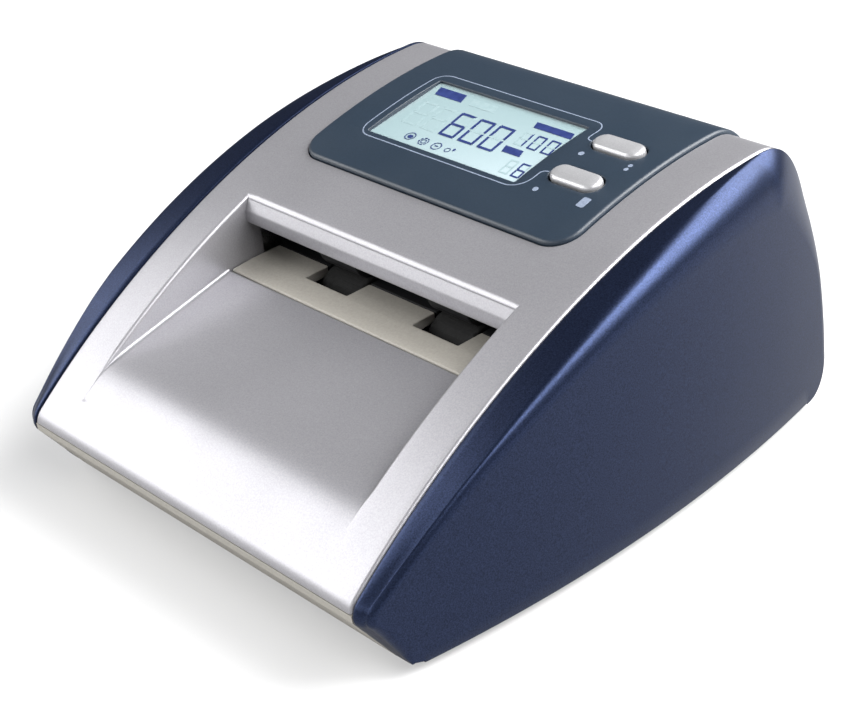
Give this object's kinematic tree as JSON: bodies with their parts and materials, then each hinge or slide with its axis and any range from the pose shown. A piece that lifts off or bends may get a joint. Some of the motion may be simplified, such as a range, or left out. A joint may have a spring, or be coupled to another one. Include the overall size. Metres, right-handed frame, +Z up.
{
  "type": "banknote counting machine",
  "caption": "Compact desktop banknote checker and counter with a sloping entry tray, roller-driven level note path, bulged side panels, a tilted display and two pill-shaped keys",
  "frame": {"origin": "middle of the underside of the bounding box, on the surface the feet stand on", "axes": "+Z up; the front, with the entry tray, faces -Y; +X is the side the keys are on, at the right hand of someone using the machine"},
  "size_m": [0.1232, 0.1324, 0.0652],
  "materials": {
    "silver_paint": "satin silver paint over moulded plastic",
    "navy_paint": "metallic dark blue paint over moulded plastic, semi-gloss",
    "beige_plastic": "moulded warm grey plastic, fine texture",
    "slate_plastic": "satin slate plastic with a printed overlay",
    "display_glass": "reflective liquid crystal behind a clear cover",
    "black_plastic": "black moulded plastic, semi-matte",
    "key_silver": "silver-painted key cap, satin",
    "circuit_board": "green solder mask over fibreglass",
    "steel": "ground and plated steel",
    "acetal": "natural acetal, semi-matte",
    "brass": "turned brass",
    "rubber": "matt black rubber"
  },
  "bodies": {
    "housing": {"top_cover": "silver_paint", "side_panel_left": "navy_paint", "side_panel_right": "navy_paint", "base_cover": "beige_plastic", "rear_cover": "beige_plastic", "entry_lip": "beige_plastic", "display_bezel": "slate_plastic", "display_panel": "display_glass", "display_frame": "black_plastic", "key_switch_lower": "black_plastic", "key_switch_upper": "black_plastic", "lower_guide": "black_plastic", "upper_guide": "black_plastic", "buzzer": "black_plastic", "controller_chip": "black_plastic", "switch_frame": "black_plastic", "power_jack": "black_plastic", "control_board": "circuit_board", "lower_sensor_board": "circuit_board", "upper_sensor_board": "circuit_board", "main_board": "circuit_board", "idler_pin": "steel", "motor": "steel", "chassis_plate_left": "steel", "chassis_plate_right": "steel", "magnetic_head": "steel", "data_port": "steel", "case_screw_1": "steel", "case_screw_2": "steel", "case_screw_3": "steel", "case_screw_4": "steel", "bushing_front_left": "brass", "bushing_front_right": "brass", "bushing_rear_left": "brass", "bushing_rear_right": "brass", "foot_1": "rubber", "foot_2": "rubber", "foot_3": "rubber", "foot_4": "rubber"},
    "key_cap_lower": {"key_lower": "key_silver"},
    "key_cap_upper": {"key_upper": "key_silver"},
    "rocker": {"power_rocker": "black_plastic"},
    "front_feed": {"feed_shaft_front": "steel", "feed_gear_front": "acetal", "feed_roller_front_left": "rubber", "feed_roller_front_right": "rubber"},
    "rear_feed": {"feed_shaft_rear": "steel", "feed_gear_rear": "acetal", "feed_roller_rear_left": "rubber", "feed_roller_rear_right": "rubber"},
    "idler": {"idler_gear": "acetal"},
    "pinion": {"motor_pinion": "brass"},
    "pinch_front_left": {"pinch_roller_front_left": "acetal"},
    "pinch_front_right": {"pinch_roller_front_right": "acetal"},
    "pinch_rear_left": {"pinch_roller_rear_left": "acetal"},
    "pinch_rear_right": {"pinch_roller_rear_right": "acetal"}
  },
  "joints": [
    {"name": "lower_key_press", "type": "slide", "parent": "housing", "child": "key_cap_lower", "axis": [0, -0.1633, 0.9866], "range_m": [-0.0004, 0], "stiffness_N_per_m": 400, "springref_m": 0.0004},
    {"name": "upper_key_press", "type": "slide", "parent": "housing", "child": "key_cap_upper", "axis": [0, -0.1633, 0.9866], "range_m": [-0.0004, 0], "stiffness_N_per_m": 400, "springref_m": 0.0004},
    {"name": "switch_rock", "type": "hinge", "parent": "housing", "child": "rocker", "pos_m": [-0.033, 0.062, 0.017], "axis": [0, 0, 1], "range_deg": [0, 15]},
    {"name": "feed_spin", "type": "hinge", "parent": "housing", "child": "front_feed", "pos_m": [0, -0.0025, 0.0303], "axis": [1, 0, 0], "continuous": true},
    {"name": "rear_spin", "type": "hinge", "parent": "housing", "child": "rear_feed", "pos_m": [0, 0.0423, 0.0303], "axis": [1, 0, 0], "continuous": true},
    {"name": "idler_spin", "type": "hinge", "parent": "housing", "child": "idler", "pos_m": [-0.04675, 0.0199, 0.0303], "axis": [1, 0, 0], "continuous": true},
    {"name": "pinion_spin", "type": "hinge", "parent": "housing", "child": "pinion", "pos_m": [-0.04675, 0.03016, 0.016], "axis": [1, 0, 0], "continuous": true},
    {"name": "pinch_front_left_spin", "type": "hinge", "parent": "housing", "child": "pinch_front_left", "pos_m": [-0.017, -0.0025, 0.0426], "axis": [1, 0, 0], "continuous": true},
    {"name": "pinch_front_right_spin", "type": "hinge", "parent": "housing", "child": "pinch_front_right", "pos_m": [0.017, -0.0025, 0.0426], "axis": [1, 0, 0], "continuous": true},
    {"name": "pinch_rear_left_spin", "type": "hinge", "parent": "housing", "child": "pinch_rear_left", "pos_m": [-0.017, 0.0423, 0.0426], "axis": [1, 0, 0], "continuous": true},
    {"name": "pinch_rear_right_spin", "type": "hinge", "parent": "housing", "child": "pinch_rear_right", "pos_m": [0.017, 0.0423, 0.0426], "axis": [1, 0, 0], "continuous": true}
  ],
  "couplings": [
    {"joint": "rear_spin", "follows": "feed_spin", "ratio": 1},
    {"joint": "idler_spin", "follows": "feed_spin", "ratio": -0.75},
    {"joint": "pinion_spin", "follows": "feed_spin", "ratio": 2},
    {"joint": "pinch_front_left_spin", "follows": "feed_spin", "ratio": -1.4},
    {"joint": "pinch_front_right_spin", "follows": "feed_spin", "ratio": -1.4},
    {"joint": "pinch_rear_left_spin", "follows": "feed_spin", "ratio": -1.4},
    {"joint": "pinch_rear_right_spin", "follows": "feed_spin", "ratio": -1.4}
  ]
}
